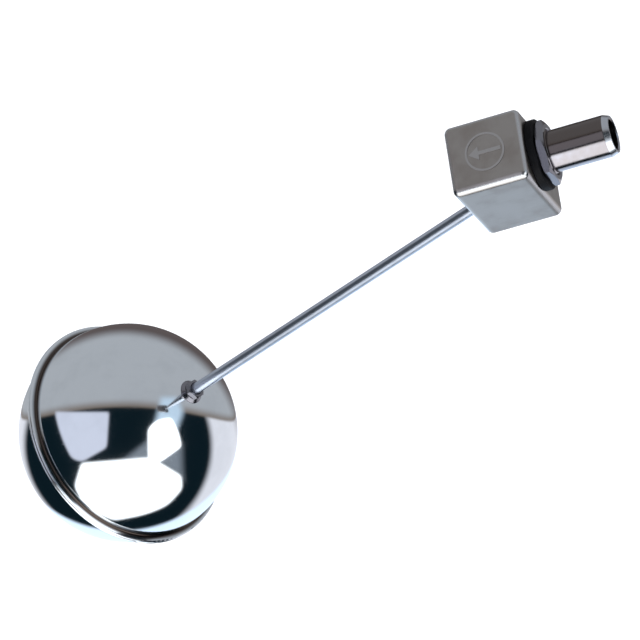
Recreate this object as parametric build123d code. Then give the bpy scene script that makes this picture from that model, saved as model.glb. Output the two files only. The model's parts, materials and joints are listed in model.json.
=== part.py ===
from build123d import *
from math import acos, cos, radians, sin, sqrt
import os

# Float valve for a water tank: a box-shaped hood over a plunger valve, which a ball float on an arm
# opens and shuts.
#
# Frame: the origin is on the inlet axis at the outer face of the clamp nut, where the free stub starts.
# +X runs out along the inlet stub, +Z is up, and the arm reaches towards -X. Everything is symmetric
# about y = 0 except the pivot pin's head and clip. The parts are drawn as the valve hangs with no water:
# fully open.

# ---------------------------------------------------------------- driving dimensions (mm)

# inlet spigot, a plain pipe end outside and a threaded root under the nut
STUB_DIAMETER = 22.0
STUB_LENGTH = 33.0
STUB_BEVEL_LENGTH = 3.2
STUB_BEVEL_DEPTH = 1.2
INLET_BORE = 16.0
ROOT_THREAD_DIAMETER = 24.0
SPIGOT_INNER_END_X = -16.5
NOZZLE_POCKET_DIAMETER = 18.0
NOZZLE_POCKET_END_X = -6.0

# clamp nut and gasket, stacked from the origin to the hood's end wall
NUT_ACROSS_FLATS = 30.0
NUT_THICKNESS = 4.8
NUT_TURN = 29.0
NUT_CORNER_DROP = 1.3
GASKET_DIAMETER = 37.4
GASKET_THICKNESS = 4.2
GASKET_EDGE_RADIUS = 0.6

# hood
HOOD_LENGTH = 41.0
HOOD_WIDTH = 39.0
HOOD_HEIGHT = 56.2
HOOD_TOP_Z = 22.0
HOOD_WALL = 2.0
HOOD_EDGE_RADIUS = 3.6
HOOD_INNER_RADIUS = 1.6
HOOD_RIM_RADIUS = 0.6
ARM_SLOT_WIDTH = 9.0
ARM_SLOT_HEADROOM = 1.2

# raised mark on the hood's top: a ring round a plain arrow that points the way the water runs
EMBLEM_HEIGHT = 0.3
EMBLEM_RING_RADIUS = 10.6
EMBLEM_RING_WIDTH = 1.1
ARROW_SHAFT_LENGTH = 12.0
ARROW_SHAFT_WIDTH = 2.0
ARROW_HEAD_LENGTH = 5.4
ARROW_HEAD_WIDTH = 7.4

# nozzle
ORIFICE_DIAMETER = 8.0
SEAT_LIP_DIAMETER = 9.2
SEAT_FACE_X = -15.0
NOZZLE_FACE_X = -13.5
NOZZLE_KEY_SLOT_WIDTH = 2.0
NOZZLE_KEY_SLOT_DEPTH = 1.0
O_RING_THICKNESS = 1.28
O_RING_GROOVE_WIDTH = 1.8
O_RING_GROOVE_DEPTH = 1.35
O_RING_SETBACK = 2.5

# guide cage
CAGE_BOSS_DIAMETER = 29.0
CAGE_BOSS_LENGTH = 5.5
CAGE_TUBE_DIAMETER = 20.0
CAGE_REAR_GAP = 1.0
WINDOW_WIDTH = 7.0
WINDOW_LENGTH = 6.5
WINDOW_SETBACK = 1.5
TIP_SLOT_REACH = 4.5
EAR_THICKNESS = 3.0
EAR_GAP = 10.6
EAR_ROOT_LENGTH = 17.0
EAR_ROOT_SHIFT = 2.0
EAR_PIVOT_RADIUS = 5.5
EAR_STOP_RADIUS = 3.0

# plunger
PLUNGER_DIAMETER = 14.0
PLUNGER_GUIDE_CLEARANCE = 0.08
SEAL_DIAMETER = 12.2
SEAL_THICKNESS = 2.0
SEAL_GAP_WHEN_SHUT = 0.15
CAP_LENGTH = 5.2
CAP_LIP_THICKNESS = 0.75
CAP_OPENING_DIAMETER = 10.6
PLUNGER_TAIL = 7.0
TIP_SLOT_TOP = 2.6
TIP_SLOT_FLARE = 2.4

# lever, pivot and arm
PIVOT_X = -30.2
PIVOT_Z = -22.75
DROOP = 31.3
CRANK_TIP_RADIUS = 2.0
CRANK_TIP_CLEARANCE = 0.15
CRANK_TIP_THICKNESS = 4.0
CRANK_SIDE_CLEARANCE = 0.6
CRANK_NECK = 2.6
CRANK_ROOT = 6.5
CRANK_HUB_RADIUS = 5.5
CRANK_HUB_WIDTH = 10.0
SOCKET_RADIUS = 4.8
SOCKET_END = 11.0
PIN_DIAMETER = 4.0
PIN_RUNNING_CLEARANCE = 0.05
PIN_HEAD_DIAMETER = 6.8
PIN_HEAD_THICKNESS = 1.55
PIN_TAIL = 2.3
PIN_GROOVE_DEPTH = 0.45
PIN_GROOVE_WIDTH = 0.9
CLIP_DIAMETER = 7.2
CLIP_THICKNESS = 0.8
CLIP_OPENING = 2.2
BUSH_DIAMETER = 6.0
STOP_PIN_DIAMETER = 2.5
STOP_PIN_ALONG = 3.5
STOP_GAP = 0.3
ROD_DIAMETER = 6.35
ARM_LENGTH = 351.0
SMALL_NUT_ACROSS_FLATS = 10.0
SMALL_NUT_THICKNESS = 3.2
SMALL_NUT_CORNER_DROP = 0.5

# ball float, two pressed halves with an outward lip each; the half on the rod is a little deeper than
# the other
BALL_DIAMETER = 127.0
BALL_WALL = 0.8
CENTRE_FLAT_RADIUS = 0.3
SEAM_SETBACK = 2.0
SEAM_GAP = 0.3
LIP_PROUD = 3.8
LIP_THICKNESS = 1.65
LIP_EDGE_RADIUS = 0.8
LIP_ROOT_RADIUS = 0.7
WELD_DEPTH = 0.4

# threaded boss through the ball's pole
BOSS_DIAMETER = 12.0
BOSS_LENGTH = 9.5
BOSS_FLOOR = 2.0
BOSS_COLLAR_DIAMETER = 14.0
BOSS_COLLAR_OUT = 1.6
BOSS_COLLAR_SLOPE = 1.6
BOSS_WASHER_DIAMETER = 20.0
BOSS_WASHER_THICKNESS = 1.2
BOSS_WASHER_DEPTH = 0.9

# clearances: between pieces that screw or slip together within one body, and between pieces that only touch
ASSEMBLY_CLEARANCE = 0.04
TOUCH_GAP = 0.05

# how far a cutting tool runs past the face it cuts, and how near two places are to count as one
OVERRUN = 1.0
SAME_PLACE = 0.01

# ---------------------------------------------------------------- derived places (mm)

GASKET_OUTER_X = -NUT_THICKNESS
HOOD_OUTER_X = GASKET_OUTER_X - GASKET_THICKNESS
HOOD_REAR_X = HOOD_OUTER_X - HOOD_LENGTH
HOOD_BOTTOM_Z = HOOD_TOP_Z - HOOD_HEIGHT
HOOD_INNER_X = HOOD_OUTER_X - HOOD_WALL
HOOD_INNER_REAR_X = HOOD_REAR_X + HOOD_WALL
INNER_WASHER_THICKNESS = 1.0
CAGE_FRONT_X = HOOD_INNER_X - INNER_WASHER_THICKNESS
CAGE_SHOULDER_X = CAGE_FRONT_X - CAGE_BOSS_LENGTH
CAGE_REAR_X = HOOD_INNER_REAR_X + CAGE_REAR_GAP
CAGE_BORE_RADIUS = PLUNGER_DIAMETER / 2 + PLUNGER_GUIDE_CLEARANCE
WINDOW_CENTRE_X = CAGE_SHOULDER_X - WINDOW_SETBACK - WINDOW_LENGTH / 2
EAR_FACE_Y = EAR_GAP / 2 + EAR_THICKNESS

CRANK_LENGTH = -PIVOT_Z
PLUNGER_TRAVEL = 2 * CRANK_LENGTH * sin(radians(DROOP / 2))
TIP_X = PIVOT_X - PLUNGER_TRAVEL / 2
TIP_Z = PIVOT_Z + CRANK_LENGTH * cos(radians(DROOP / 2))
SEAL_FACE_X = SEAT_FACE_X - SEAL_GAP_WHEN_SHUT - PLUNGER_TRAVEL
ARM_X = -cos(radians(DROOP))
ARM_Z = -sin(radians(DROOP))

BALL_RADIUS = BALL_DIAMETER / 2
POLE = ARM_LENGTH - BALL_RADIUS
BALL_NUT_START = POLE - BOSS_COLLAR_OUT - SMALL_NUT_THICKNESS - TOUCH_GAP


# ---------------------------------------------------------------- helpers

def along_x(profile, x=0.0):
    """Turn (position along x, radius) points round the inlet axis into a solid."""
    points = [(x + px, pr) for px, pr in profile]
    outline = make_face(Polyline(*points, close=True).edges())
    face = Plane.XZ * outline
    return revolve(face, Axis.X)


def rod_x(start, end, radius, chamfer_size=0.0):
    """A round bar along x."""
    length = end - start
    bar = Pos((start + end) / 2, 0, 0) * Rot(0, 90, 0) * Cylinder(radius, length)
    if chamfer_size:
        bar = chamfer(bar.edges().filter_by(GeomType.CIRCLE), chamfer_size)
    return bar


def rod_y(x, z, start, end, radius):
    """A round bar across the valve, along y."""
    return Pos(x, (start + end) / 2, z) * Rot(90, 0, 0) * Cylinder(radius, end - start)


def block(x0, x1, y0, y1, z0, z1):
    """A box given by its two corners."""
    return Pos((x0 + x1) / 2, (y0 + y1) / 2, (z0 + z1) / 2) * Box(x1 - x0, y1 - y0, z1 - z0)


def on_arm(shape):
    """Move a shape drawn along +X from the pivot on to the hanging arm."""
    return Pos(PIVOT_X, 0, PIVOT_Z) * Rot(0, 180 - DROOP, 0) * shape


def arm_point(along, below=0.0):
    """The x and z of a place on the arm: a distance from the pivot, and a distance under the arm's line."""
    return PIVOT_X + along * ARM_X - below * ARM_Z, PIVOT_Z + along * ARM_Z + below * ARM_X


def stop_pin_place():
    """The x and z of the stop pin, just under the socket of the hanging arm."""
    return arm_point(STOP_PIN_ALONG, SOCKET_RADIUS + STOP_GAP + STOP_PIN_DIAMETER / 2)


def plate_y(outline, start, end):
    """A flat plate in the x-z plane between two y values."""
    sheet = Plane.XZ.offset(-end) * outline
    return extrude(sheet, end - start, dir=(0, -1, 0))


def hex_nut(across_flats, thickness, bore_radius, corner_drop, start_x=0.0, turn=0.0):
    """A hexagon nut along +X with its corners turned off at both faces and a countersunk bore."""
    corner = across_flats / 3 ** 0.5
    flats = Plane.YZ * Rot(0, 0, turn) * RegularPolygon(corner, 6)
    prism = extrude(flats, thickness)
    face_radius = 0.49 * across_flats
    past_corner = 1.01 * corner
    dome = along_x([
        (0, 0),
        (0, face_radius),
        (corner_drop, past_corner),
        (thickness - corner_drop, past_corner),
        (thickness, face_radius),
        (thickness, 0),
    ])
    sink = 0.5
    wide = bore_radius + sink + OVERRUN
    hole = along_x([
        (-OVERRUN, 0),
        (-OVERRUN, wide),
        (sink, bore_radius),
        (thickness - sink, bore_radius),
        (thickness + OVERRUN, wide),
        (thickness + OVERRUN, 0),
    ])
    return Pos(start_x, 0, 0) * ((prism & dome) - hole)


# ---------------------------------------------------------------- inlet side

def inlet_spigot():
    root = ROOT_THREAD_DIAMETER / 2
    stub = STUB_DIAMETER / 2
    bore = INLET_BORE / 2
    pocket = NOZZLE_POCKET_DIAMETER / 2
    runout = root - stub
    inner_chamfer = 0.8
    mouth_chamfer = 0.5
    return along_x([
        (SPIGOT_INNER_END_X, pocket + mouth_chamfer),
        (SPIGOT_INNER_END_X, root - inner_chamfer),
        (SPIGOT_INNER_END_X + inner_chamfer, root),
        (-runout, root),
        (0, stub),
        (STUB_LENGTH - STUB_BEVEL_LENGTH, stub),
        (STUB_LENGTH, stub - STUB_BEVEL_DEPTH),
        (STUB_LENGTH, bore + mouth_chamfer),
        (STUB_LENGTH - mouth_chamfer, bore),
        (NOZZLE_POCKET_END_X, bore),
        (NOZZLE_POCKET_END_X, pocket),
        (SPIGOT_INNER_END_X + mouth_chamfer, pocket),
    ])


def clamp_nut():
    bore = ROOT_THREAD_DIAMETER / 2 + ASSEMBLY_CLEARANCE
    return hex_nut(NUT_ACROSS_FLATS, NUT_THICKNESS, bore, NUT_CORNER_DROP, -NUT_THICKNESS, NUT_TURN)


def rubber_gasket():
    bore = ROOT_THREAD_DIAMETER / 2 + ASSEMBLY_CLEARANCE
    disc = along_x([
        (HOOD_OUTER_X, bore),
        (HOOD_OUTER_X, GASKET_DIAMETER / 2),
        (GASKET_OUTER_X, GASKET_DIAMETER / 2),
        (GASKET_OUTER_X, bore),
    ])
    rims = [e for e in disc.edges().filter_by(GeomType.CIRCLE) if e.radius > GASKET_DIAMETER / 2 - 0.1]
    return fillet(rims, GASKET_EDGE_RADIUS)


def inner_sealing_washer():
    bore = ROOT_THREAD_DIAMETER / 2 + ASSEMBLY_CLEARANCE
    washer = rod_x(CAGE_FRONT_X, HOOD_INNER_X, CAGE_BOSS_DIAMETER / 2)
    return washer - rod_x(CAGE_FRONT_X - OVERRUN, HOOD_INNER_X + OVERRUN, bore)


def seat_nozzle():
    outer = NOZZLE_POCKET_DIAMETER / 2 - ASSEMBLY_CLEARANCE
    lip = SEAT_LIP_DIAMETER / 2
    orifice = ORIFICE_DIAMETER / 2
    back = NOZZLE_POCKET_END_X - ASSEMBLY_CLEARANCE
    groove_start = back - O_RING_SETBACK - O_RING_GROOVE_WIDTH / 2
    groove_end = groove_start + O_RING_GROOVE_WIDTH
    groove_bottom = outer - O_RING_GROOVE_DEPTH
    lip_edge = 0.15
    lip_flare = 0.6
    rim_chamfer = 0.4
    throat_length = 4.2
    throat_radius = INLET_BORE / 2 - 0.3
    body = along_x([
        (SEAT_FACE_X, orifice + lip_edge),
        (SEAT_FACE_X, lip - lip_edge),
        (SEAT_FACE_X + lip_edge, lip),
        (NOZZLE_FACE_X, lip + lip_flare),
        (NOZZLE_FACE_X, outer - rim_chamfer),
        (NOZZLE_FACE_X + rim_chamfer, outer),
        (groove_start, outer),
        (groove_start, groove_bottom),
        (groove_end, groove_bottom),
        (groove_end, outer),
        (back, outer),
        (back, throat_radius),
        (back - throat_length, orifice),
        (SEAT_FACE_X + lip_edge, orifice),
    ])
    half_key = NOZZLE_KEY_SLOT_WIDTH / 2
    key_floor = NOZZLE_FACE_X + NOZZLE_KEY_SLOT_DEPTH
    reach = outer + OVERRUN
    key_slot = block(NOZZLE_FACE_X - OVERRUN, key_floor, -reach, reach, -half_key, half_key)
    lip_zone = rod_x(SEAT_FACE_X - OVERRUN, key_floor + OVERRUN, lip + 2 * lip_flare)
    return body - (key_slot - lip_zone)


def nozzle_o_ring():
    ring_radius = O_RING_THICKNESS / 2
    centre = NOZZLE_POCKET_DIAMETER / 2 - ASSEMBLY_CLEARANCE / 2 - ring_radius
    groove_middle = NOZZLE_POCKET_END_X - ASSEMBLY_CLEARANCE - O_RING_SETBACK
    return Pos(groove_middle, 0, 0) * Rot(0, 90, 0) * Torus(centre, ring_radius)


# ---------------------------------------------------------------- hood

def flow_arrow():
    """A plain raised arrow and ring on the top of the hood that show which way the water runs."""
    middle_x = HOOD_OUTER_X - HOOD_LENGTH / 2
    half_head = ARROW_HEAD_WIDTH / 2
    shaft = Pos(ARROW_HEAD_LENGTH / 2, 0) * Rectangle(ARROW_SHAFT_LENGTH, ARROW_SHAFT_WIDTH)
    head_base = (ARROW_HEAD_LENGTH - ARROW_SHAFT_LENGTH) / 2
    head = Polygon(
        (head_base, -half_head), (head_base, half_head), (head_base - ARROW_HEAD_LENGTH, 0), align=None,
    )
    ring = Circle(EMBLEM_RING_RADIUS) - Circle(EMBLEM_RING_RADIUS - EMBLEM_RING_WIDTH)
    rooted = HOOD_WALL / 10
    return extrude(Pos(middle_x, 0, HOOD_TOP_Z - rooted) * (shaft + head + ring), EMBLEM_HEIGHT + rooted)


def valve_hood():
    middle_x = HOOD_OUTER_X - HOOD_LENGTH / 2
    middle_z = HOOD_TOP_Z - HOOD_HEIGHT / 2
    shell = Pos(middle_x, 0, middle_z) * Box(HOOD_LENGTH, HOOD_WIDTH, HOOD_HEIGHT)
    bottom = shell.faces().sort_by(Axis.Z)[0]
    soft_edges = [e for e in shell.edges() if e not in bottom.edges()]
    shell = fillet(soft_edges, HOOD_EDGE_RADIUS)
    cavity = Pos(middle_x, 0, middle_z - HOOD_WALL) * Box(
        HOOD_LENGTH - 2 * HOOD_WALL, HOOD_WIDTH - 2 * HOOD_WALL, HOOD_HEIGHT
    )
    cavity_bottom = cavity.faces().sort_by(Axis.Z)[0]
    cavity = fillet([e for e in cavity.edges() if e not in cavity_bottom.edges()], HOOD_INNER_RADIUS)
    shell = shell - cavity
    rim = shell.faces().sort_by(Axis.Z)[0].edges()
    shell = fillet(rim, HOOD_RIM_RADIUS)
    half_slot = ARM_SLOT_WIDTH / 2
    slot_head_z = PIVOT_Z + ARM_SLOT_HEADROOM
    slot_start = HOOD_REAR_X - OVERRUN
    slot_end = HOOD_INNER_REAR_X + OVERRUN
    slot = block(slot_start, slot_end, -half_slot, half_slot, HOOD_BOTTOM_Z - OVERRUN, slot_head_z)
    slot = slot + Pos(0, 0, slot_head_z) * rod_x(slot_start, slot_end, half_slot)
    hole_radius = ROOT_THREAD_DIAMETER / 2 + 5 * ASSEMBLY_CLEARANCE
    inlet_hole = rod_x(HOOD_INNER_X - OVERRUN, HOOD_OUTER_X + OVERRUN, hole_radius)
    return shell - slot - inlet_hole + flow_arrow()


# ---------------------------------------------------------------- guide cage

def ear_outline():
    """One ear seen from the side: it hangs from the tube, round the pivot pin and the stop pin."""
    stop_x, stop_z = stop_pin_place()
    root_height = CAGE_TUBE_DIAMETER / 5
    root = Pos(PIVOT_X + EAR_ROOT_SHIFT, -root_height) * Rectangle(EAR_ROOT_LENGTH, root_height)
    pivot_round = Pos(PIVOT_X, PIVOT_Z) * Circle(EAR_PIVOT_RADIUS)
    stop_round = Pos(stop_x, stop_z) * Circle(EAR_STOP_RADIUS)
    upper = make_hull((root + pivot_round).edges())
    lower = make_hull((pivot_round + stop_round).edges())
    return upper + lower


def guide_cage():
    tube_radius = CAGE_TUBE_DIAMETER / 2
    boss_chamfer = 0.6
    boss = rod_x(CAGE_SHOULDER_X, CAGE_FRONT_X, CAGE_BOSS_DIAMETER / 2, boss_chamfer)
    tube = rod_x(CAGE_REAR_X, CAGE_SHOULDER_X + boss_chamfer, tube_radius)
    body = boss + tube
    body = body + plate_y(ear_outline(), EAR_GAP / 2, EAR_FACE_Y)
    body = body + plate_y(ear_outline(), -EAR_FACE_Y, -EAR_GAP / 2)
    thread_end = SPIGOT_INNER_END_X - 2 * TOUCH_GAP
    thread = rod_x(thread_end, CAGE_FRONT_X + OVERRUN, ROOT_THREAD_DIAMETER / 2 + ASSEMBLY_CLEARANCE)
    guide = rod_x(CAGE_REAR_X - OVERRUN, CAGE_FRONT_X, CAGE_BORE_RADIUS)
    body = body - thread - guide
    for turn in (0, 90, 180, 270):
        window = block(
            WINDOW_CENTRE_X - WINDOW_LENGTH / 2, WINDOW_CENTRE_X + WINDOW_LENGTH / 2,
            -WINDOW_WIDTH / 2, WINDOW_WIDTH / 2, 0, tube_radius + OVERRUN,
        )
        body = body - Rot(turn, 0, 0) * window
    half_slot = CRANK_TIP_THICKNESS / 2 + CRANK_SIDE_CLEARANCE
    tip_slot = block(
        TIP_X - TIP_SLOT_REACH, WINDOW_CENTRE_X, -half_slot, half_slot, -tube_radius - OVERRUN, 0,
    )
    body = body - tip_slot
    reach = EAR_FACE_Y + OVERRUN
    body = body - rod_y(PIVOT_X, PIVOT_Z, -reach, reach, PIN_DIAMETER / 2 + ASSEMBLY_CLEARANCE)
    stop_x, stop_z = stop_pin_place()
    return body - rod_y(stop_x, stop_z, -reach, reach, STOP_PIN_DIAMETER / 2 + ASSEMBLY_CLEARANCE)


# ---------------------------------------------------------------- plunger

def plunger_body():
    radius = PLUNGER_DIAMETER / 2
    seal_back = SEAL_FACE_X - SEAL_THICKNESS
    cap_end = SEAL_FACE_X + CAP_LIP_THICKNESS - CAP_LENGTH
    slot_half = CRANK_TIP_RADIUS + CRANK_TIP_CLEARANCE
    tail_end = TIP_X - slot_half - PLUNGER_TAIL
    tail_chamfer = 0.6
    body = along_x([
        (tail_end, 0),
        (tail_end, radius - tail_chamfer),
        (tail_end + tail_chamfer, radius),
        (cap_end - TOUCH_GAP, radius),
        (cap_end - TOUCH_GAP, SEAL_DIAMETER / 2),
        (seal_back, SEAL_DIAMETER / 2),
        (seal_back, 0),
    ])
    half_width = CRANK_TIP_THICKNESS / 2 + CRANK_SIDE_CLEARANCE / 2
    below = -radius - OVERRUN
    narrow = block(TIP_X - slot_half, TIP_X + slot_half, -half_width, half_width, below, TIP_SLOT_TOP)
    flare_top = -CRANK_TIP_RADIUS - 2 * CRANK_TIP_CLEARANCE
    flare_half = slot_half + TIP_SLOT_FLARE
    flare = Polygon(
        (TIP_X - slot_half, flare_top), (TIP_X + slot_half, flare_top),
        (TIP_X + flare_half, below), (TIP_X - flare_half, below),
        align=None,
    )
    return body - narrow - plate_y(flare, -half_width, half_width)


def plunger_cap():
    radius = PLUNGER_DIAMETER / 2
    front = SEAL_FACE_X + CAP_LIP_THICKNESS
    bore = SEAL_DIAMETER / 2 + ASSEMBLY_CLEARANCE
    front_chamfer = 0.4
    return along_x([
        (front - CAP_LENGTH, bore),
        (front - CAP_LENGTH, radius),
        (front - front_chamfer, radius),
        (front, radius - front_chamfer),
        (front, CAP_OPENING_DIAMETER / 2),
        (SEAL_FACE_X, CAP_OPENING_DIAMETER / 2),
        (SEAL_FACE_X, bore),
    ])


def seal_washer():
    return rod_x(SEAL_FACE_X - SEAL_THICKNESS, SEAL_FACE_X, SEAL_DIAMETER / 2)


# ---------------------------------------------------------------- lever and pivot

def lever_crank():
    hub = rod_y(PIVOT_X, PIVOT_Z, -CRANK_HUB_WIDTH / 2, CRANK_HUB_WIDTH / 2, CRANK_HUB_RADIUS)
    half_neck = CRANK_NECK / 2
    half_root = CRANK_ROOT / 2
    short_arm = Polygon(
        (-half_root, 0), (half_root, 0), (half_neck, CRANK_LENGTH), (-half_neck, CRANK_LENGTH),
        align=None,
    )
    short_arm = short_arm + Pos(0, CRANK_LENGTH) * Circle(CRANK_TIP_RADIUS)
    half_tip = CRANK_TIP_THICKNESS / 2
    short_arm = plate_y(short_arm, -half_tip, half_tip)
    short_arm = Pos(PIVOT_X, 0, PIVOT_Z) * Rot(0, -DROOP / 2, 0) * short_arm
    socket_chamfer = 0.4
    socket = on_arm(rod_x(0, SOCKET_END, SOCKET_RADIUS, socket_chamfer))
    crank = hub + short_arm + socket
    rod_bore = ROD_DIAMETER / 2 + ASSEMBLY_CLEARANCE
    crank = crank - on_arm(rod_x(CRANK_HUB_RADIUS - 1, SOCKET_END + OVERRUN, rod_bore))
    return crank - rod_y(PIVOT_X, PIVOT_Z, -CRANK_HUB_WIDTH, CRANK_HUB_WIDTH, BUSH_DIAMETER / 2)


def pivot_bush():
    half = CRANK_HUB_WIDTH / 2 + 2 * TOUCH_GAP
    reach = half + OVERRUN
    outer = rod_y(PIVOT_X, PIVOT_Z, -half, half, BUSH_DIAMETER / 2 - ASSEMBLY_CLEARANCE)
    return outer - rod_y(PIVOT_X, PIVOT_Z, -reach, reach, PIN_DIAMETER / 2 + PIN_RUNNING_CLEARANCE)


def pivot_pin():
    radius = PIN_DIAMETER / 2
    head_face = -EAR_FACE_Y - TOUCH_GAP
    shank = rod_y(PIVOT_X, PIVOT_Z, head_face - TOUCH_GAP, EAR_FACE_Y + PIN_TAIL, radius)
    head = rod_y(PIVOT_X, PIVOT_Z, head_face - PIN_HEAD_THICKNESS, head_face, PIN_HEAD_DIAMETER / 2)
    head = fillet(head.edges().sort_by(Axis.Y)[0:1], 0.4 * PIN_HEAD_THICKNESS)
    groove_start = EAR_FACE_Y + PIN_GROOVE_DEPTH
    groove_end = groove_start + PIN_GROOVE_WIDTH
    groove = rod_y(PIVOT_X, PIVOT_Z, groove_start, groove_end, radius + OVERRUN)
    groove = groove - rod_y(PIVOT_X, PIVOT_Z, EAR_FACE_Y, groove_end + OVERRUN, radius - PIN_GROOVE_DEPTH)
    return shank + head - groove


def pivot_clip():
    start = EAR_FACE_Y + PIN_GROOVE_DEPTH + TOUCH_GAP
    end = start + CLIP_THICKNESS
    inner_radius = PIN_DIAMETER / 2 - PIN_GROOVE_DEPTH + ASSEMBLY_CLEARANCE
    half_opening = CLIP_OPENING / 2
    ring = rod_y(PIVOT_X, PIVOT_Z, start, end, CLIP_DIAMETER / 2)
    ring = ring - rod_y(PIVOT_X, PIVOT_Z, start - OVERRUN, end + OVERRUN, inner_radius)
    opening = block(
        PIVOT_X - half_opening, PIVOT_X + half_opening, start - OVERRUN, end + OVERRUN,
        PIVOT_Z - CLIP_DIAMETER, PIVOT_Z,
    )
    return ring - opening


def stop_pin():
    stop_x, stop_z = stop_pin_place()
    end = EAR_FACE_Y + STOP_GAP
    return rod_y(stop_x, stop_z, -end, end, STOP_PIN_DIAMETER / 2)


# ---------------------------------------------------------------- arm and ball

def float_rod():
    end_chamfer = 0.5
    start = CRANK_HUB_RADIUS - CRANK_TIP_CLEARANCE
    end = POLE + BOSS_LENGTH - BOSS_FLOOR - BOSS_COLLAR_OUT / 3
    return on_arm(rod_x(start, end, ROD_DIAMETER / 2, end_chamfer))


def small_nut(start):
    """One of the two lock nuts on the rod."""
    bore = ROD_DIAMETER / 2 + ASSEMBLY_CLEARANCE
    return on_arm(hex_nut(SMALL_NUT_ACROSS_FLATS, SMALL_NUT_THICKNESS, bore, SMALL_NUT_CORNER_DROP, start))


def rod_lock_nut():
    return small_nut(SOCKET_END + TOUCH_GAP)


def ball_lock_nut():
    return small_nut(BALL_NUT_START)


def float_boss():
    """Threaded bush through the pole of the ball, closed at its inner end so that the ball stays dry."""
    thread = ROD_DIAMETER / 2 + ASSEMBLY_CLEARANCE
    neck = BOSS_DIAMETER / 2
    collar = BOSS_COLLAR_DIAMETER / 2
    collar_back = 0.2
    mouth_chamfer = 0.3
    return on_arm(along_x([
        (-BOSS_COLLAR_OUT, thread + mouth_chamfer),
        (-BOSS_COLLAR_OUT, collar - BOSS_COLLAR_SLOPE),
        (collar_back, collar),
        (collar_back, neck),
        (BOSS_LENGTH, neck),
        (BOSS_LENGTH, 0),
        (BOSS_LENGTH - BOSS_FLOOR, 0),
        (BOSS_LENGTH - BOSS_FLOOR, thread),
        (mouth_chamfer - BOSS_COLLAR_OUT, thread),
    ], POLE))


def boss_washer():
    start = POLE + BALL_WALL + BOSS_WASHER_DEPTH
    end = start + BOSS_WASHER_THICKNESS
    washer = rod_x(start, end, BOSS_WASHER_DIAMETER / 2)
    hole = rod_x(start - OVERRUN, end + OVERRUN, BOSS_DIAMETER / 2 + ASSEMBLY_CLEARANCE)
    return on_arm(washer - hole)


def sphere_arc(radius, start_x, end_x):
    """The part of a circle round the ball's centre between two places on the arm's line."""
    start = acos(start_x / radius)
    end = acos(end_x / radius)
    middle = (start + end) / 2
    return ThreePointArc(
        (radius * cos(start), radius * sin(start)),
        (radius * cos(middle), radius * sin(middle)),
        (radius * cos(end), radius * sin(end)),
    )


def pressed_half(seam_x):
    """One pressed half with its lip, drawn with the ball's centre at the origin and the half's pole at -X.

    seam_x is where the seam's middle plane is; past the centre the wall runs straight. The press's centre
    leaves a tiny flat at the pole.
    """
    inner_radius = BALL_RADIUS - BALL_WALL
    lip_face = seam_x - SEAM_GAP / 2
    lip_back = lip_face - LIP_THICKNESS
    lip_radius = BALL_RADIUS + LIP_PROUD
    outer_flat = -sqrt(BALL_RADIUS**2 - CENTRE_FLAT_RADIUS**2)
    inner_flat = -sqrt(inner_radius**2 - CENTRE_FLAT_RADIUS**2)
    outside = sphere_arc(BALL_RADIUS, min(lip_back, 0), outer_flat)
    inside = sphere_arc(inner_radius, min(lip_face, 0), inner_flat)
    lip_root = (lip_back, (outside @ 0).Y)
    lip_mouth = (lip_face, (inside @ 0).Y)
    outline = [
        outside,
        inside,
        Line(lip_root, (lip_back, lip_radius)),
        Line((lip_back, lip_radius), (lip_face, lip_radius)),
        Line((lip_face, lip_radius), lip_mouth),
        Line(inside @ 1, (inner_flat, 0)),
        Line((inner_flat, 0), (outer_flat, 0)),
        Line((outer_flat, 0), outside @ 1),
    ]
    if lip_back > 0:
        outline.append(Line(outside @ 0, lip_root))
    if lip_face > 0:
        outline.append(Line(lip_mouth, inside @ 0))
    edges = [edge for piece in outline for edge in piece.edges()]
    half = revolve(Plane.XZ * make_face(edges), Axis.X)
    circles = half.edges().filter_by(GeomType.CIRCLE)
    rims = [e for e in circles if e.radius > lip_radius - LIP_EDGE_RADIUS]
    half = fillet(rims, LIP_EDGE_RADIUS)
    circles = half.edges().filter_by(GeomType.CIRCLE)
    root_circles = [e for e in circles if abs(e.radius - lip_root[1]) < SAME_PLACE]
    roots = [e for e in root_circles if abs(e.center().X - lip_back) < SAME_PLACE]
    return fillet(roots, LIP_ROOT_RADIUS)


def near_hemisphere():
    half = pressed_half(SEAM_SETBACK)
    hole = rod_x(-BALL_RADIUS - OVERRUN, -BALL_RADIUS / 2, BOSS_DIAMETER / 2 + ASSEMBLY_CLEARANCE)
    return on_arm(Pos(ARM_LENGTH, 0, 0) * (half - hole))


def far_hemisphere():
    return on_arm(Pos(ARM_LENGTH, 0, 0) * Rot(0, 0, 180) * pressed_half(-SEAM_SETBACK))


def seam_weld():
    """The weld bead that fills the gap between the two lips."""
    half = SEAM_GAP / 2 - ASSEMBLY_CLEARANCE / 4
    inner = BALL_RADIUS - BALL_WALL / 2
    outer = BALL_RADIUS + LIP_PROUD - WELD_DEPTH
    corners = [(-half, inner), (-half, outer), (half, outer), (half, inner)]
    return on_arm(along_x(corners, ARM_LENGTH + SEAM_SETBACK))


# ---------------------------------------------------------------- export

PARTS = [
    inlet_spigot, clamp_nut, rubber_gasket, inner_sealing_washer, seat_nozzle, nozzle_o_ring,
    valve_hood, guide_cage,
    plunger_body, plunger_cap, seal_washer,
    lever_crank, pivot_bush, pivot_pin, pivot_clip, stop_pin,
    float_rod, rod_lock_nut, ball_lock_nut, float_boss, boss_washer,
    near_hemisphere, far_hemisphere, seam_weld,
]

os.makedirs("parts", exist_ok=True)
for make_part in PARTS:
    solid = make_part()
    export_step(solid, f"parts/{make_part.__name__}.step")

print("plunger travel", round(PLUNGER_TRAVEL, 3), "mm for", DROOP, "degrees")
print("metres per radian", round(PLUNGER_TRAVEL / 1000 / radians(DROOP), 7))
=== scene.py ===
import json
from math import cos, radians, sin, tau

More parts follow.
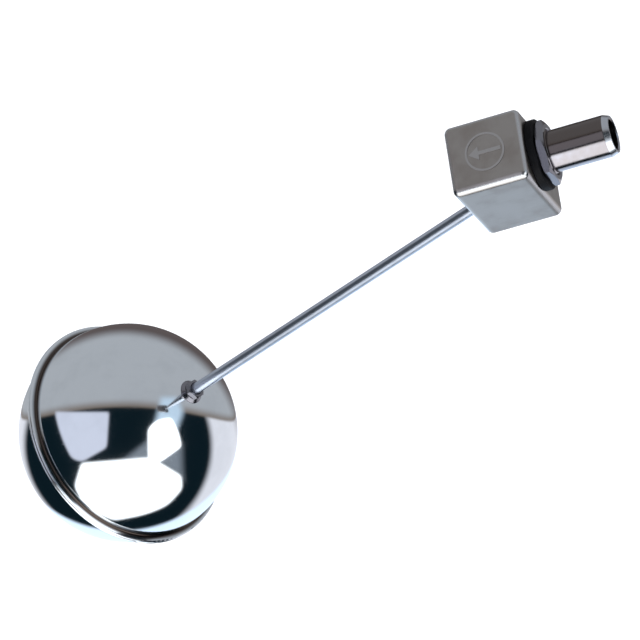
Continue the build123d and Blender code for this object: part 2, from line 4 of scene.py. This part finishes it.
import bmesh
import bpy
from mathutils import Matrix, Vector


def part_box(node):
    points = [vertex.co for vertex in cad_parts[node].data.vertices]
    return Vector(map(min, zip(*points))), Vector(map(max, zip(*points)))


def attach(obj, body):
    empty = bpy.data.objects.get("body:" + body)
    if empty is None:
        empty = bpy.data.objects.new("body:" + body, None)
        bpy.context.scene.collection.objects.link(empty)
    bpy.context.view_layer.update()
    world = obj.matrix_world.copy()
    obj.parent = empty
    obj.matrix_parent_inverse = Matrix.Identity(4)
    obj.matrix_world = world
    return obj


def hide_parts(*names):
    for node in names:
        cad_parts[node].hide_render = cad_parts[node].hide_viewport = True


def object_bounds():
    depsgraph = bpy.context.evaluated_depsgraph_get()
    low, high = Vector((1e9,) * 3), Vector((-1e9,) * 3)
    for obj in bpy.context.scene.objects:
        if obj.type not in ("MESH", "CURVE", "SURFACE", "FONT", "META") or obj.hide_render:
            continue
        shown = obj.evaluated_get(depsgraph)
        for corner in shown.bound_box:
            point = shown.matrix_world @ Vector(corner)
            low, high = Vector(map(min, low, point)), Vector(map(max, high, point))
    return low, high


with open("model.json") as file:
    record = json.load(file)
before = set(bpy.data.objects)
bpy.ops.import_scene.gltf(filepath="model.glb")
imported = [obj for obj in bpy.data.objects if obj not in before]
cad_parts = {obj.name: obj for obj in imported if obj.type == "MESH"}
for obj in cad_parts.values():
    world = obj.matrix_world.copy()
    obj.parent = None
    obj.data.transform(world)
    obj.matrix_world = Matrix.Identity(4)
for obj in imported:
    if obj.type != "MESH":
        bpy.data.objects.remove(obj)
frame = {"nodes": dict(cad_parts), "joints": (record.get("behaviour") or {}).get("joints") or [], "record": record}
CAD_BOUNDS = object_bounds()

# The float valve's looks: a satin stainless hood, a polished inlet stub and a mirror polished ball float.
# Everything is in metres in the CAD frame: +X out along the inlet stub, +Z up.

MM = 0.001


# ================================================================ places read from the frame

ARM_HINGE = next(joint for joint in frame["joints"] if joint["name"] == "arm_hinge")
PIVOT = Vector(ARM_HINGE["pos_m"])
WELD_LOW, WELD_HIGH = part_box("seam_weld")
SEAM_CENTRE = WELD_LOW.lerp(WELD_HIGH, 0.5)
ARM_LINE = (SEAM_CENTRE - PIVOT).normalized()
LIP_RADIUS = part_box("near_hemisphere")[1].y
STUB_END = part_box("inlet_spigot")[1].x
HOOD_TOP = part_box("valve_hood")[1].z


# ================================================================ camera, at the photograph's viewing angle

VIEW_AZIMUTH = radians(36.3)
VIEW_ELEVATION = radians(60.8)
VIEW_ROLL = radians(48.2)
# The point that the middle of the picture shows, and how far the camera is from it.
VIEW_TARGET = Vector((-0.1323, -0.0617, 0.0129))
VIEW_DISTANCE = 2.0
# The lens and the sensor are in millimetres, as Blender has them.
VIEW_LENS = 220.3
SENSOR_WIDTH = 36.0
FURTHEST_SEEN = 100.0


def view_axes():
    """The camera's right, up and back directions: back points from the valve to the camera."""
    back = Vector((
        sin(VIEW_AZIMUTH) * cos(VIEW_ELEVATION),
        -cos(VIEW_AZIMUTH) * cos(VIEW_ELEVATION),
        sin(VIEW_ELEVATION),
    ))
    level_right = Vector((0, 0, 1)).cross(back).normalized()
    level_up = back.cross(level_right)
    up = level_up * cos(VIEW_ROLL) + level_right * sin(VIEW_ROLL)
    right = up.cross(back)
    return right, up, back


def add_camera():
    right, up, back = view_axes()
    data = bpy.data.cameras.new("camera")
    data.lens = VIEW_LENS
    data.sensor_width = SENSOR_WIDTH
    data.clip_end = FURTHEST_SEEN
    camera = bpy.data.objects.new("camera", data)
    turn = Matrix((right, up, back)).transposed().to_4x4()
    camera.matrix_world = Matrix.Translation(VIEW_TARGET + back * VIEW_DISTANCE) @ turn
    bpy.context.scene.collection.objects.link(camera)
    bpy.context.scene.camera = camera


# ================================================================ node helpers

# The Mix node's colour sockets share their names with its other sockets, so they go by number.
MIX_COLOUR_A = 6
MIX_COLOUR_B = 7
MIX_COLOUR_RESULT = 2


class Nodes:
    """A short way to write shader nodes: each call adds one node and returns one of its outputs."""

    def __init__(self, tree):
        self.tree = tree
        tree.nodes.clear()

    def add(self, kind, inputs=None, output=0, **settings):
        """Add a node and return the named or numbered output, or the node itself if output is None."""
        node = self.tree.nodes.new(kind)
        for name, value in settings.items():
            setattr(node, name, value)
        for key, value in (inputs or {}).items():
            self.feed(node.inputs[key], value)
        return node if output is None else node.outputs[output]

    def feed(self, socket, value):
        """Link another node's output to the socket, or set the socket's own value."""
        if isinstance(value, bpy.types.NodeSocket):
            self.tree.links.new(value, socket)
        else:
            socket.default_value = value

    def math(self, operation, a, b=0.0, c=0.0):
        return self.add("ShaderNodeMath", {0: a, 1: b, 2: c}, operation=operation)

    def dot(self, a, b):
        return self.add("ShaderNodeVectorMath", {0: a, 1: b}, output="Value", operation="DOT_PRODUCT")

    def length(self, vector):
        return self.add("ShaderNodeVectorMath", {0: vector}, output="Value", operation="LENGTH")

    def smooth_step(self, value, low, high):
        """0 at low, 1 at high, and a smooth change between; low may be the larger of the two."""
        inputs = {"Value": value, "From Min": low, "From Max": high}
        return self.add("ShaderNodeMapRange", inputs, interpolation_type="SMOOTHSTEP")

    def ranged(self, value, low, high):
        """A 0 to 1 value spread over low to high."""
        return self.add("ShaderNodeMapRange", {"Value": value, "To Min": low, "To Max": high})

    def mix_colour(self, factor, a, b):
        inputs = {0: factor, MIX_COLOUR_A: a, MIX_COLOUR_B: b}
        return self.add("ShaderNodeMix", inputs, output=MIX_COLOUR_RESULT, data_type="RGBA")

    def place(self, stretch=(1.0, 1.0, 1.0)):
        """Where the surface is in the valve's own frame, stretched along its axes."""
        where = self.add("ShaderNodeTexCoord", output="Object")
        return self.add("ShaderNodeMapping", {"Vector": where, "Scale": stretch})

    def noise(self, where, scale, detail=4.0, roughness=0.55):
        inputs = {"Vector": where, "Scale": scale, "Detail": detail, "Roughness": roughness}
        return self.add("ShaderNodeTexNoise", inputs)

    def bump(self, height, distance, normal=None):
        inputs = {"Height": height, "Distance": distance}
        if normal is not None:
            inputs["Normal"] = normal
        return self.add("ShaderNodeBump", inputs)


def rgba(red, green, blue):
    return (red, green, blue, 1.0)


# ================================================================ studio light
#
# The surroundings are drawn on the world. A direction is placed by where a mirror ball, seen along the
# camera's line, would show it: across and upward run from -1 to 1 over the ball, and its rim shows what
# is behind it. The studio's places, radii and softness are in those units.

DARK_ROOM = rgba(0.004, 0.012, 0.018)
PAPER_SWEEP = rgba(0.88, 0.90, 0.98)
GREY_WALL = rgba(0.46, 0.49, 0.53)
WALL_SHADE = rgba(0.22, 0.18, 0.15)
BROWN_EDGE = rgba(0.12, 0.10, 0.10)
LOW_PAPER = rgba(1.02, 1.24, 1.52)
SOFTBOX = rgba(2.2, 2.3, 2.4)
PALE_CARD = rgba(0.74, 0.79, 0.94)
BLUE_GLOW = rgba(0.64, 0.82, 1.00)
DIM_CARD = rgba(0.24, 0.28, 0.33)
BACKDROP = rgba(0.97, 0.97, 0.97)

# The dark room is seen within this circle, and the paper sweep round it.
ROOM_CENTRE = (-0.08, -0.11)
ROOM_RADIUS = 0.85
ROOM_SOFTNESS = 0.035
# The wall starts at this height, lower at the sides than in the middle, and is in shade at its foot.
WALL_FOOT = 0.245
WALL_SAG = 0.19
WALL_FOOT_SOFTNESS = 0.015
WALL_SHADE_START = -0.01
WALL_SHADE_DEPTH = 0.09
# Two thin crescents lie outside these circles: a brown edge at the top and bright paper at the bottom.
TOP_CENTRE = (-0.02, -0.118)
TOP_RADIUS = 1.03
TOP_SOFTNESS = 0.05
LOW_CENTRE = (-0.04, 0.32)
LOW_RADIUS = 1.20
LOW_SOFTNESS = 0.02

# Corners of the panels, clockwise.
PALE_CARD_CORNERS = [
    (-0.65, 0.19), (-0.15, 0.20), (-0.17, -0.12), (-0.40, -0.25), (-0.49, -0.22), (-0.59, -0.03),
]
GLOW_CORNERS = [
    (0.32, 0.33), (0.45, 0.33), (0.52, 0.20), (0.46, 0.04), (0.26, 0.08),
]
LEFT_DIM_CORNERS = [
    (0.20, -0.06), (0.22, -0.25), (-0.06, -0.26),
]
RIGHT_DIM_CORNERS = [
    (0.50, -0.12), (0.50, -0.40), (0.26, -0.23),
]
SMALL_BOX_CORNERS = [
    (0.20, 0.05), (0.28, 0.13), (0.41, 0.15), (0.48, 0.02), (0.50, -0.12), (0.30, -0.26), (0.20, -0.26),
]
LARGE_BOX_CORNERS = [
    (-0.40, -0.26), (0.22, -0.21), (0.30, -0.25), (0.49, -0.39), (0.49, -0.51),
    (0.36, -0.65), (0.17, -0.73), (-0.14, -0.78), (-0.38, -0.66), (-0.47, -0.47),
]
# The panels' corners, light and edge softness. Each panel lies over the ones before it.
PANELS = [
    (PALE_CARD_CORNERS, PALE_CARD, 0.015),
    (GLOW_CORNERS, BLUE_GLOW, 0.04),
    (LEFT_DIM_CORNERS, DIM_CARD, 0.04),
    (RIGHT_DIM_CORNERS, DIM_CARD, 0.05),
    (SMALL_BOX_CORNERS, SOFTBOX, 0.010),
    (LARGE_BOX_CORNERS, SOFTBOX, 0.018),
]
CORNER_ROUNDING = 0.05

# Keeps the division sound for the one direction straight behind the ball.
BEHIND_BALL_NUDGE = 0.000002


def mirror_ball_place(nodes):
    """The across and upward place of the direction being looked in."""
    right, up, back = view_axes()
    direction = nodes.add("ShaderNodeTexCoord", output="Generated")
    across = nodes.dot(direction, right)
    upward = nodes.dot(direction, up)
    toward = nodes.dot(direction, back)
    widened = nodes.math("MULTIPLY_ADD", toward, 2.0, 2.0 + BEHIND_BALL_NUDGE)
    spread = nodes.math("SQRT", widened)
    return nodes.math("DIVIDE", across, spread), nodes.math("DIVIDE", upward, spread)


def panel(nodes, place, corners, softness):
    """How much of a straight-sided panel is seen: 1 inside its corners and 0 outside."""
    inside = None
    for start, end in zip(corners, corners[1:] + corners[:1]):
        side = (Vector(end) - Vector(start)).normalized()
        inward = Vector((side.y, -side.x))
        distance = nodes.math("MULTIPLY_ADD", place[0], inward.x, -inward.dot(Vector(start)))
        distance = nodes.math("MULTIPLY_ADD", place[1], inward.y, distance)
        if inside is None:
            inside = distance
        else:
            inside = nodes.math("SMOOTH_MIN", inside, distance, CORNER_ROUNDING)
    return nodes.smooth_step(inside, -softness, softness)


def disc(nodes, place, centre, radius, softness):
    """How much of a round patch is seen."""
    across = nodes.math("SUBTRACT", place[0], centre[0])
    upward = nodes.math("SUBTRACT", place[1], centre[1])
    squares = nodes.math("MULTIPLY_ADD", across, across, nodes.math("MULTIPLY", upward, upward))
    distance = nodes.math("SQRT", squares)
    return nodes.smooth_step(distance, radius + softness, radius - softness)


def add_studio():
    """The world: the studio for reflections and light, and a plain pale backdrop where it is looked at."""
    world = bpy.data.worlds.new("studio")
    bpy.context.scene.world = world
    world.use_nodes = True
    nodes = Nodes(world.node_tree)
    place = mirror_ball_place(nodes)

    in_room = disc(nodes, place, ROOM_CENTRE, ROOM_RADIUS, ROOM_SOFTNESS)
    colour = nodes.mix_colour(in_room, PAPER_SWEEP, DARK_ROOM)
    above_low_paper = disc(nodes, place, LOW_CENTRE, LOW_RADIUS, LOW_SOFTNESS)
    colour = nodes.mix_colour(above_low_paper, LOW_PAPER, colour)

    sag = nodes.math("MULTIPLY", nodes.math("MULTIPLY", place[0], place[0]), WALL_SAG)
    above_foot = nodes.math("ADD", nodes.math("SUBTRACT", place[1], WALL_FOOT), sag)
    out_of_shade = nodes.smooth_step(above_foot, WALL_SHADE_START, WALL_SHADE_DEPTH)
    wall_colour = nodes.mix_colour(out_of_shade, WALL_SHADE, GREY_WALL)
    on_wall = nodes.smooth_step(above_foot, -WALL_FOOT_SOFTNESS, WALL_FOOT_SOFTNESS)
    colour = nodes.mix_colour(on_wall, colour, wall_colour)
    below_brown_edge = disc(nodes, place, TOP_CENTRE, TOP_RADIUS, TOP_SOFTNESS)
    colour = nodes.mix_colour(below_brown_edge, BROWN_EDGE, colour)

    for corners, light, softness in PANELS:
        colour = nodes.mix_colour(panel(nodes, place, corners, softness), colour, light)

    looked_at = nodes.add("ShaderNodeLightPath", output="Is Camera Ray")
    studio = nodes.add("ShaderNodeBackground", {"Color": colour})
    backdrop = nodes.add("ShaderNodeBackground", {"Color": BACKDROP})
    shown = nodes.add("ShaderNodeMixShader", {0: looked_at, 1: studio, 2: backdrop})
    nodes.add("ShaderNodeOutputWorld", {"Surface": shown}, output=None)
    bpy.context.scene.view_settings.view_transform = "Standard"


FLOOR_DROP = 0.35
FLOOR_HALF_SIZE = 30.0
PAPER_GRAIN_SCALE = 900.0
PAPER_DARK = rgba(0.90, 0.90, 0.90)
PAPER_LIGHT = rgba(0.94, 0.94, 0.94)
PAPER_ROUGHNESS = 0.9
PAPER_GLOW = 0.35


def add_floor():
    """A plain pale floor well under the valve."""
    height = CAD_BOUNDS[0][2] - FLOOR_DROP
    half = FLOOR_HALF_SIZE
    corners = [(-half, -half, height), (half, -half, height), (half, half, height), (-half, half, height)]
    mesh = bpy.data.meshes.new("floor")
    mesh.from_pydata(corners, [], [(0, 1, 2, 3)])
    floor = bpy.data.objects.new("floor", mesh)
    bpy.context.scene.collection.objects.link(floor)
    material = bpy.data.materials.new("floor_paper")
    material.use_nodes = True
    nodes = Nodes(material.node_tree)
    grain = nodes.noise(nodes.place(), PAPER_GRAIN_SCALE)
    shader = nodes.add("ShaderNodeBsdfPrincipled", {
        "Base Color": nodes.mix_colour(grain, PAPER_DARK, PAPER_LIGHT),
        "Roughness": PAPER_ROUGHNESS,
        "Emission Color": rgba(1.0, 1.0, 1.0),
        "Emission Strength": PAPER_GLOW,
    })
    nodes.add("ShaderNodeOutputMaterial", {"Surface": shader}, output=None)
    mesh.materials.append(material)
    floor.visible_glossy = False


# Each lamp's name, its way from the valve's middle along the camera's right, up and back directions, its
# width and its power in watts.
LAMPS = [
    ("key_lamp", (0.0, -1.2, 1.6), 1.2, 22.0),
    ("fill_lamp", (-0.8, 1.8, 1.2), 1.6, 12.0),
]


def add_softbox_lamps():
    """Two broad lamps that fill the floor and the satin faces."""
    centre = Vector(CAD_BOUNDS[0]).lerp(Vector(CAD_BOUNDS[1]), 0.5)
    right, up, back = view_axes()
    for name, (across, upward, toward), width, power in LAMPS:
        offset = right * across + up * upward + back * toward
        data = bpy.data.lights.new(name, "AREA")
        data.shape = "DISK"
        data.size = width
        data.energy = power
        lamp = bpy.data.objects.new(name, data)
        lamp.location = centre + offset
        lamp.rotation_euler = (-offset).to_track_quat("-Z", "Y").to_euler()
        lamp.visible_glossy = False
        bpy.context.scene.collection.objects.link(lamp)


# ================================================================ materials

# The scale of a metal's grain along each axis: less than 1 draws it out.
ALONG_INLET = (0.04, 1.0, 1.0)
ROUND_INLET = (1.0, 0.04, 0.04)
EVEN = (1.0, 1.0, 1.0)

# Tarnish lies in patches, where a broad noise is above these levels.
PATCH_SCALE = 55.0
PATCH_START = 0.42
PATCH_FULL = 0.68
TARNISH_DIMMING = 0.86

# Scratches are the thin crests of a stretched noise.
SCRATCH_STRETCH = (0.05, 1.0, 0.6)
SCRATCH_SCALE = 900.0
SCRATCH_START = 0.70
SCRATCH_FULL = 0.74
SCRATCH_ROUGHNESS = 0.06

# The slow waves of a pressed mirror surface, and the samples that round an edge in its shading.
WAVE_SCALE = 26.0
BEVEL_SAMPLES = 6


def metal(name, colour, roughness, stretch, grain_scale, grain_depth, rough_spread=0.05, tarnish=None,
          bevel=0.0, wave_depth=0.0, local_changes=()):
    """A bare metal: a grain along one way, uneven polish, fine scratches, faint tarnish and rounded edges.

    Each of local_changes, called with the nodes, returns how much of another finish, or of a painted shade
    or highlight, shows where, and that colour and roughness.
    """
    material = bpy.data.materials.new(name)
    material.use_nodes = True
    nodes = Nodes(material.node_tree)
    where = nodes.place()
    patches = nodes.noise(where, PATCH_SCALE, detail=5.0)
    tarnished = tarnish or tuple(TARNISH_DIMMING * part for part in colour)
    in_patch = nodes.smooth_step(patches, PATCH_START, PATCH_FULL)
    base = nodes.mix_colour(in_patch, rgba(*colour), rgba(*tarnished))
    grain = nodes.noise(nodes.place(stretch), grain_scale, detail=3.0, roughness=0.6)
    crests = nodes.noise(nodes.place(SCRATCH_STRETCH), SCRATCH_SCALE, detail=1.0)
    scratches = nodes.smooth_step(crests, SCRATCH_START, SCRATCH_FULL)
    wear = nodes.math("MULTIPLY_ADD", patches, 0.5, nodes.math("MULTIPLY", grain, 0.5))
    rough = nodes.ranged(wear, roughness - rough_spread, roughness + rough_spread)
    rough = nodes.math("MULTIPLY_ADD", scratches, SCRATCH_ROUGHNESS, rough)
    for local_change in local_changes:
        share, other_colour, other_roughness = local_change(nodes)
        base = nodes.mix_colour(share, base, rgba(*other_colour))
        rough = nodes.add("ShaderNodeMix", {0: share, 2: rough, 3: other_roughness})
    normal = None
    if bevel:
        normal = nodes.add("ShaderNodeBevel", {"Radius": bevel}, samples=BEVEL_SAMPLES)
    if wave_depth:
        normal = nodes.bump(nodes.noise(where, WAVE_SCALE, detail=1.0), wave_depth, normal)
    shader = nodes.add("ShaderNodeBsdfPrincipled", {
        "Base Color": base,
        "Metallic": 1.0,
        "Roughness": rough,
        "Normal": nodes.bump(grain, grain_depth, normal),
    })
    nodes.add("ShaderNodeOutputMaterial", {"Surface": shader}, output=None)
    return material


HEAT_BROWN = (0.085, 0.065, 0.055)
HEAT_ROUGHNESS = 0.22
HEAT_REACH = 2.3 * MM
HEAT_FADE = 1.3 * MM
HEAT_UNEVEN = 0.5 * MM
HEAT_BLOTCH_SCALE = 160.0
RIM_WIDTH = 0.6 * MM
FLANK_WIDTH = 3.0 * MM


def heat_by_seam(nodes):
    """Brown heat colour on the lips' flanks and in their roots; the lips' rounded rims stay bright."""
    offset = nodes.add("ShaderNodeVectorMath", {0: nodes.place(), 1: SEAM_CENTRE}, operation="SUBTRACT")
    along = nodes.dot(offset, ARM_LINE)
    reach = nodes.length(offset)
    reach_squared = nodes.math("MULTIPLY", reach, reach)
    along_squared = nodes.math("MULTIPLY", along, along)
    off_axis = nodes.math("SQRT", nodes.math("SUBTRACT", reach_squared, along_squared))
    blotches = nodes.noise(nodes.place(), HEAT_BLOTCH_SCALE)
    spread = nodes.ranged(blotches, -HEAT_UNEVEN, HEAT_UNEVEN)
    distance = nodes.math("ADD", nodes.math("ABSOLUTE", along), spread)
    near_seam = nodes.smooth_step(distance, HEAT_REACH + HEAT_FADE, HEAT_REACH)
    below_rim = nodes.smooth_step(off_axis, LIP_RADIUS - RIM_WIDTH, LIP_RADIUS - FLANK_WIDTH)
    return nodes.math("MULTIPLY", near_seam, below_rim), HEAT_BROWN, HEAT_ROUGHNESS


def from_inlet_axis(nodes):
    """How far the surface is from the inlet's axis, and which way it lies from it."""
    across_inlet = (0.0, 1.0, 1.0)
    flattened = nodes.add("ShaderNodeVectorMath", {0: nodes.place(), 1: across_inlet}, operation="MULTIPLY")
    outward = nodes.add("ShaderNodeVectorMath", {0: flattened}, operation="NORMALIZE")
    return nodes.length(flattened), outward


# The stub's painted shade and reflection: a darker colour along its upper side.
PAINTED_SHADE_STEEL = (0.150, 0.125, 0.115)
PAINTED_SHADE_ROUGHNESS = 0.17
# The direction that the darkest line of the stub's painted shade faces.
PAINTED_SHADE_WAY = (0.0, 0.78, 0.63)
PAINTED_SHADE_START = -0.08
PAINTED_SHADE_FULL = 0.22
PAINTED_SHADE_UNEVEN = 0.10
PAINTED_SHADE_STREAK_STRETCH = (0.15, 1.0, 1.0)
PAINTED_SHADE_STREAK_SCALE = 240.0


def painted_shade_upper_side(nodes):
    """Painted shade and reflection: the stub is painted darker, unevenly, along the side that faces up and towards
    +Y.
    """
    _, outward = from_inlet_axis(nodes)
    facing = nodes.dot(outward, PAINTED_SHADE_WAY)
    streaks = nodes.noise(nodes.place(PAINTED_SHADE_STREAK_STRETCH), PAINTED_SHADE_STREAK_SCALE)
    uneven = nodes.math("ADD", facing, nodes.ranged(streaks, -PAINTED_SHADE_UNEVEN, PAINTED_SHADE_UNEVEN))
    return nodes.smooth_step(uneven, PAINTED_SHADE_START, PAINTED_SHADE_FULL), PAINTED_SHADE_STEEL, PAINTED_SHADE_ROUGHNESS


# The stub's end bevel gets a painted highlight: a brighter colour that draws a light line round its edge.
BEVEL_HIGHLIGHT_STEEL = (0.58, 0.59, 0.62)
BEVEL_HIGHLIGHT_ROUGHNESS = 0.25
BEVEL_LENGTH = 3.2 * MM
BEVEL_FADE = 0.32 * MM
BORE_RADIUS = 8.0 * MM
BORE_EDGE_START = 0.4 * MM
BORE_EDGE_FULL = 0.8 * MM


def bevel_painted_highlight(nodes):
    """Painted highlight: the bevel at the end of the stub is painted brighter; the bore keeps the stub's own
    finish.
    """
    along = nodes.add("ShaderNodeSeparateXYZ", {0: nodes.place()}, output="X")
    bevel_start = STUB_END - BEVEL_LENGTH
    at_end = nodes.smooth_step(along, bevel_start, bevel_start + BEVEL_FADE)
    distance, _ = from_inlet_axis(nodes)
    outside_bore = nodes.smooth_step(distance, BORE_RADIUS + BORE_EDGE_START, BORE_RADIUS + BORE_EDGE_FULL)
    return nodes.math("MULTIPLY", at_end, outside_bore), BEVEL_HIGHLIGHT_STEEL, BEVEL_HIGHLIGHT_ROUGHNESS


# The hood's rounded edges get a painted highlight: a brighter colour than its flat faces.
EDGE_HIGHLIGHT_STEEL = (0.54, 0.53, 0.53)
EDGE_HIGHLIGHT_ROUGHNESS = 0.27
# The largest part of the surface's direction along X, Y or Z: 1 on a flat face, less on a rounded edge.
FLAT_ENOUGH = 0.96
ROUND_ENOUGH = 0.80


def painted_edge_highlight(nodes):
    """Painted highlight: the hood's rounded edges are painted brighter, and made smoother, than its flat faces."""
    normal = nodes.add("ShaderNodeTexCoord", output="Normal")
    size = nodes.add("ShaderNodeVectorMath", {0: normal}, operation="ABSOLUTE")
    parts = nodes.add("ShaderNodeSeparateXYZ", {0: size}, output=None).outputs
    flattest = nodes.math("MAXIMUM", parts["X"], nodes.math("MAXIMUM", parts["Y"], parts["Z"]))
    return nodes.smooth_step(flattest, FLAT_ENOUGH, ROUND_ENOUGH), EDGE_HIGHLIGHT_STEEL, EDGE_HIGHLIGHT_ROUGHNESS


MARK_STEEL = (0.48, 0.455, 0.44)
MARK_ROUGHNESS = 0.30
MARK_HEIGHT = 0.3 * MM
MARK_TOP_BAND = 0.09 * MM


def polished_mark(nodes):
    """The raised mark on the hood, rubbed brighter than the face round it."""
    height = nodes.add("ShaderNodeSeparateXYZ", {0: nodes.place()}, output="Z")
    on_mark = nodes.smooth_step(height, HOOD_TOP - MARK_HEIGHT, HOOD_TOP - MARK_TOP_BAND)
    return on_mark, MARK_STEEL, MARK_ROUGHNESS


RUBBER_BLACK = rgba(0.0015, 0.0015, 0.002)
RUBBER_BLOOM = rgba(0.005, 0.005, 0.006)
RUBBER_SHINE = 0.12
RUBBER_SMOOTHEST = 0.45
RUBBER_ROUGHEST = 0.75
BLOOM_SCALE = 120.0
BLOOM_START = 0.45
BLOOM_FULL = 0.75
PORE_SCALE = 2600.0
PORE_DEPTH = 0.06 * MM


def rubber(name):
    """Moulded black rubber with a dusty bloom."""
    material = bpy.data.materials.new(name)
    material.use_nodes = True
    nodes = Nodes(material.node_tree)
    where = nodes.place()
    bloom = nodes.noise(where, BLOOM_SCALE, detail=6.0)
    pores = nodes.noise(where, PORE_SCALE, detail=2.0)
    bloomed = nodes.smooth_step(bloom, BLOOM_START, BLOOM_FULL)
    shader = nodes.add("ShaderNodeBsdfPrincipled", {
        "Base Color": nodes.mix_colour(bloomed, RUBBER_BLACK, RUBBER_BLOOM),
        "Specular IOR Level": RUBBER_SHINE,
        "Roughness": nodes.ranged(bloom, RUBBER_SMOOTHEST, RUBBER_ROUGHEST),
        "Normal": nodes.bump(pores, PORE_DEPTH),
    })
    nodes.add("ShaderNodeOutputMaterial", {"Surface": shader}, output=None)
    return material


FIBRE_DARK = rgba(0.22, 0.035, 0.02)
FIBRE_LIGHT = rgba(0.36, 0.07, 0.04)
FIBRE_SMOOTHEST = 0.55
FIBRE_ROUGHEST = 0.8
STRAND_STRETCH = (1.0, 6.0, 6.0)
STRAND_SCALE = 700.0
STRAND_DEPTH = 0.05 * MM


def fibre(name):
    """Red vulcanised fibre board."""
    material = bpy.data.materials.new(name)
    material.use_nodes = True
    nodes = Nodes(material.node_tree)
    strands = nodes.noise(nodes.place(STRAND_STRETCH), STRAND_SCALE, detail=5.0)
    shader = nodes.add("ShaderNodeBsdfPrincipled", {
        "Base Color": nodes.mix_colour(strands, FIBRE_DARK, FIBRE_LIGHT),
        "Roughness": nodes.ranged(strands, FIBRE_SMOOTHEST, FIBRE_ROUGHEST),
        "Normal": nodes.bump(strands, STRAND_DEPTH),
    })
    nodes.add("ShaderNodeOutputMaterial", {"Surface": shader}, output=None)
    return material


# The metal finishes, by material slot.
METALS = {
    "hood_steel": dict(
        colour=(0.40, 0.365, 0.335), roughness=0.34, rough_spread=0.08, tarnish=(0.34, 0.30, 0.27),
        stretch=ALONG_INLET, grain_scale=1700.0, grain_depth=0.045 * MM,
        # Its brighter rounded edges are a painted highlight.
        local_changes=(painted_edge_highlight, polished_mark),
    ),
    "turned_steel": dict(
        colour=(0.25, 0.24, 0.26), roughness=0.20, bevel=0.25 * MM,
        stretch=ROUND_INLET, grain_scale=1800.0, grain_depth=0.008 * MM,
    ),
    "stub_steel": dict(
        colour=(0.38, 0.37, 0.40), roughness=0.17, tarnish=(0.33, 0.30, 0.30),
        stretch=ROUND_INLET, grain_scale=1600.0, grain_depth=0.005 * MM,
        # Its darker upper side is painted shade, and its brighter end bevel is a painted highlight.
        local_changes=(painted_shade_upper_side, bevel_painted_highlight),
    ),
    "mirror_steel": dict(
        colour=(0.80, 0.82, 0.84), roughness=0.08, rough_spread=0.03, tarnish=(0.76, 0.78, 0.80),
        stretch=EVEN, grain_scale=600.0, grain_depth=0.0006 * MM, wave_depth=0.04 * MM,
        local_changes=(heat_by_seam,),
    ),
    "rod_steel": dict(
        colour=(0.58, 0.62, 0.70), roughness=0.34,
        stretch=EVEN, grain_scale=1500.0, grain_depth=0.006 * MM,
    ),
    "cast_steel": dict(
        colour=(0.42, 0.41, 0.39), roughness=0.5,
        stretch=EVEN, grain_scale=1700.0, grain_depth=0.05 * MM,
    ),
    "seat_brass": dict(
        colour=(0.72, 0.52, 0.24), roughness=0.26, tarnish=(0.50, 0.34, 0.16),
        stretch=ROUND_INLET, grain_scale=1500.0, grain_depth=0.008 * MM,
    ),
    "bush_bronze": dict(
        colour=(0.55, 0.36, 0.20), roughness=0.4,
        stretch=EVEN, grain_scale=2500.0, grain_depth=0.02 * MM,
    ),
    "weld": dict(
        colour=(0.26, 0.22, 0.20), roughness=0.3, tarnish=(0.14, 0.11, 0.09),
        stretch=EVEN, grain_scale=900.0, grain_depth=0.02 * MM,
    ),
}


def make_materials():
    """Every finish, by material slot."""
    materials = {slot: metal(slot, **look) for slot, look in METALS.items()}
    materials["black_rubber"] = rubber("black_rubber_finish")
    materials["fibre"] = fibre("fibre_finish")
    return materials


def dress_cad_nodes(materials):
    """Give every CAD node the finish of its material slot."""
    slots = {part["node"]: part["material_slot"] for part in frame["record"]["subparts"]}
    for name, piece in frame["nodes"].items():
        piece.data.materials.clear()
        piece.data.materials.append(materials[slots[name]])


# ================================================================ weld bead

# The bead fills the gap between the two lips, and its crown stands proud of its shoulders.
BEAD_WIDTH = 0.28 * MM
BEAD_RIPPLES = 300
STEPS_PER_RIPPLE = 6
RIPPLE_DEPTH = 0.12 * MM
BEAD_CROWN = 0.05 * MM
BEAD_ROOT = 3.0 * MM


def bead_profile(angle):
    """The bead's section at an angle round the seam: places along the arm's line and radii."""
    outer = WELD_HIGH.y
    side = BEAD_WIDTH / 2
    root = outer - BEAD_ROOT
    shoulder = outer - BEAD_CROWN - RIPPLE_DEPTH * (0.5 - 0.5 * cos(BEAD_RIPPLES * angle))
    return (-side, root), (-side, shoulder), (0.0, shoulder + BEAD_CROWN), (side, shoulder), (side, root)


def weld_bead(material):
    """The seam's weld bead, with the ripples that each puddle of weld leaves, between the two lips."""
    level = Vector((0, 1, 0))
    over = ARM_LINE.cross(level)
    shape = bmesh.new()
    steps = BEAD_RIPPLES * STEPS_PER_RIPPLE
    rings = []
    for step in range(steps):
        angle = tau * step / steps
        outward = level * cos(angle) + over * sin(angle)
        points = [SEAM_CENTRE + ARM_LINE * along + outward * radius for along, radius in bead_profile(angle)]
        rings.append([shape.verts.new(point) for point in points])
    for ring, following in zip(rings, rings[1:] + rings[:1]):
        corners = len(ring)
        for corner in range(corners):
            beyond = (corner + 1) % corners
            shape.faces.new((ring[corner], ring[beyond], following[beyond], following[corner]))
    bmesh.ops.recalc_face_normals(shape, faces=shape.faces)
    mesh = bpy.data.meshes.new("weld_bead")
    shape.to_mesh(mesh)
    shape.free()
    mesh.polygons.foreach_set("use_smooth", [True] * len(mesh.polygons))
    mesh.materials.append(material)
    bead = bpy.data.objects.new("weld_bead", mesh)
    bpy.context.scene.collection.objects.link(bead)
    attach(bead, "float_arm")
    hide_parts("seam_weld")


# ================================================================ build

add_camera()
add_studio()
add_floor()
add_softbox_lamps()
MATERIALS = make_materials()
dress_cad_nodes(MATERIALS)
weld_bead(MATERIALS["weld"])
